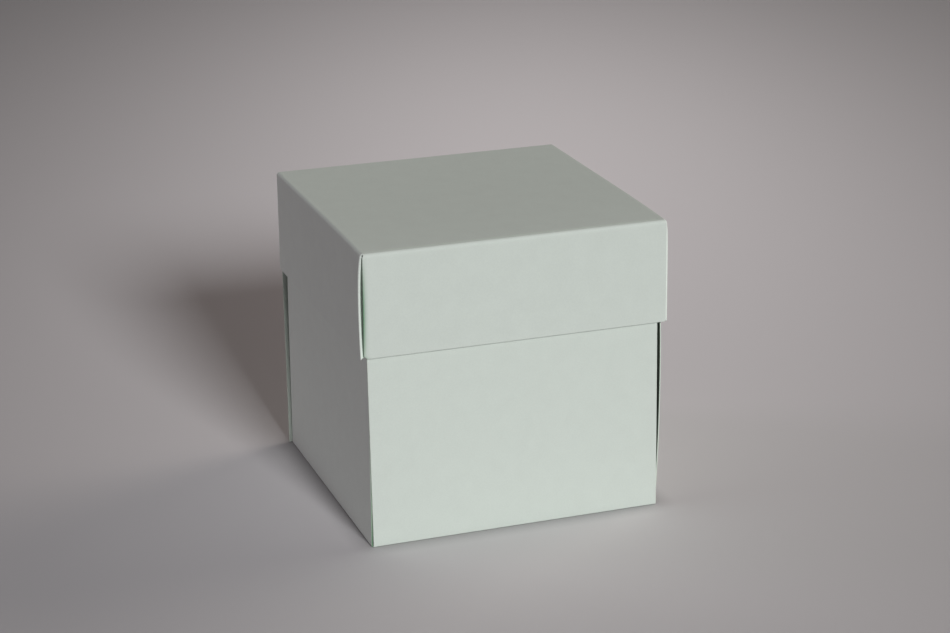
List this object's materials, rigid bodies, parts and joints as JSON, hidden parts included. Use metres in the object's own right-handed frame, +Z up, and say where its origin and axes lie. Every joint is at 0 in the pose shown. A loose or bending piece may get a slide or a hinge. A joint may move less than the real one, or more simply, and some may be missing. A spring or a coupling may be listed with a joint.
{
  "type": "explosion box",
  "caption": "Lidded cube of folded card whose nested cross-shaped sheets fall open at their creases once the lift-off lid is raised.",
  "frame": {"origin": "middle of the outer base's underside, on the surface that the box stands on", "axes": "+Z up through the box, the way the lid lifts; -Y out of the front wall; +X out of the right wall"},
  "size_m": [0.1055, 0.1036, 0.1008],
  "materials": {
    "outer_card": "matte",
    "middle_card": "matte",
    "inner_card": "matte",
    "lid_card": "matte",
    "tape": "satin"
  },
  "bodies": {
    "bases": {"outer_base": "outer_card", "middle_base": "middle_card", "inner_base": "inner_card", "middle_base_tape_front": "tape", "middle_base_tape_back": "tape", "inner_base_tape_front": "tape", "inner_base_tape_back": "tape"},
    "outer_front": {"outer_wall_front": "outer_card"},
    "outer_right": {"outer_wall_right": "outer_card"},
    "outer_back": {"outer_wall_back": "outer_card"},
    "outer_left": {"outer_wall_left": "outer_card"},
    "middle_front": {"middle_wall_front": "middle_card"},
    "middle_right": {"middle_wall_right": "middle_card"},
    "middle_back": {"middle_wall_back": "middle_card"},
    "middle_left": {"middle_wall_left": "middle_card"},
    "inner_front": {"inner_wall_front": "inner_card"},
    "inner_right": {"inner_wall_right": "inner_card"},
    "inner_back": {"inner_wall_back": "inner_card"},
    "inner_left": {"inner_wall_left": "inner_card"},
    "lid": {"lid": "lid_card", "lid_tape_front_left": "tape", "lid_tape_front_right": "tape", "lid_tape_back_left": "tape", "lid_tape_back_right": "tape"}
  },
  "joints": [
    {"name": "lid_lift", "type": "slide", "parent": "bases", "child": "lid", "axis": [0, 0, 1], "range_m": [0, 0.06]},
    {"name": "outer_front_fold", "type": "hinge", "parent": "bases", "child": "outer_front", "pos_m": [0, -0.0498, 0.0002], "axis": [1, 0, 0], "range_deg": [0, 88]},
    {"name": "outer_right_fold", "type": "hinge", "parent": "bases", "child": "outer_right", "pos_m": [0.0498, 0, 0.0002], "axis": [0, 1, 0], "range_deg": [0, 88]},
    {"name": "outer_back_fold", "type": "hinge", "parent": "bases", "child": "outer_back", "pos_m": [0, 0.0498, 0.0002], "axis": [-1, 0, 0], "range_deg": [0, 88]},
    {"name": "outer_left_fold", "type": "hinge", "parent": "bases", "child": "outer_left", "pos_m": [-0.0498, 0, 0.0002], "axis": [0, -1, 0], "range_deg": [0, 88]},
    {"name": "middle_front_fold", "type": "hinge", "parent": "bases", "child": "middle_front", "pos_m": [0, -0.0473, 0.0008], "axis": [1, 0, 0], "range_deg": [0, 88]},
    {"name": "middle_right_fold", "type": "hinge", "parent": "bases", "child": "middle_right", "pos_m": [0.0473, 0, 0.0008], "axis": [0, 1, 0], "range_deg": [0, 88]},
    {"name": "middle_back_fold", "type": "hinge", "parent": "bases", "child": "middle_back", "pos_m": [0, 0.0473, 0.0008], "axis": [-1, 0, 0], "range_deg": [0, 88]},
    {"name": "middle_left_fold", "type": "hinge", "parent": "bases", "child": "middle_left", "pos_m": [-0.0473, 0, 0.0008], "axis": [0, -1, 0], "range_deg": [0, 88]},
    {"name": "inner_front_fold", "type": "hinge", "parent": "bases", "child": "inner_front", "pos_m": [0, -0.0448, 0.0014], "axis": [1, 0, 0], "range_deg": [0, 88]},
    {"name": "inner_right_fold", "type": "hinge", "parent": "bases", "child": "inner_right", "pos_m": [0.0448, 0, 0.0014], "axis": [0, 1, 0], "range_deg": [0, 88]},
    {"name": "inner_back_fold", "type": "hinge", "parent": "bases", "child": "inner_back", "pos_m": [0, 0.0448, 0.0014], "axis": [-1, 0, 0], "range_deg": [0, 88]},
    {"name": "inner_left_fold", "type": "hinge", "parent": "bases", "child": "inner_left", "pos_m": [-0.0448, 0, 0.0014], "axis": [0, -1, 0], "range_deg": [0, 88]}
  ],
  "couplings": [
    {"joint": "middle_front_fold", "follows": "outer_front_fold", "ratio": 1},
    {"joint": "inner_front_fold", "follows": "outer_front_fold", "ratio": 1},
    {"joint": "middle_right_fold", "follows": "outer_right_fold", "ratio": 1},
    {"joint": "inner_right_fold", "follows": "outer_right_fold", "ratio": 1},
    {"joint": "middle_back_fold", "follows": "outer_back_fold", "ratio": 1},
    {"joint": "inner_back_fold", "follows": "outer_back_fold", "ratio": 1},
    {"joint": "middle_left_fold", "follows": "outer_left_fold", "ratio": 1},
    {"joint": "inner_left_fold", "follows": "outer_left_fold", "ratio": 1}
  ]
}
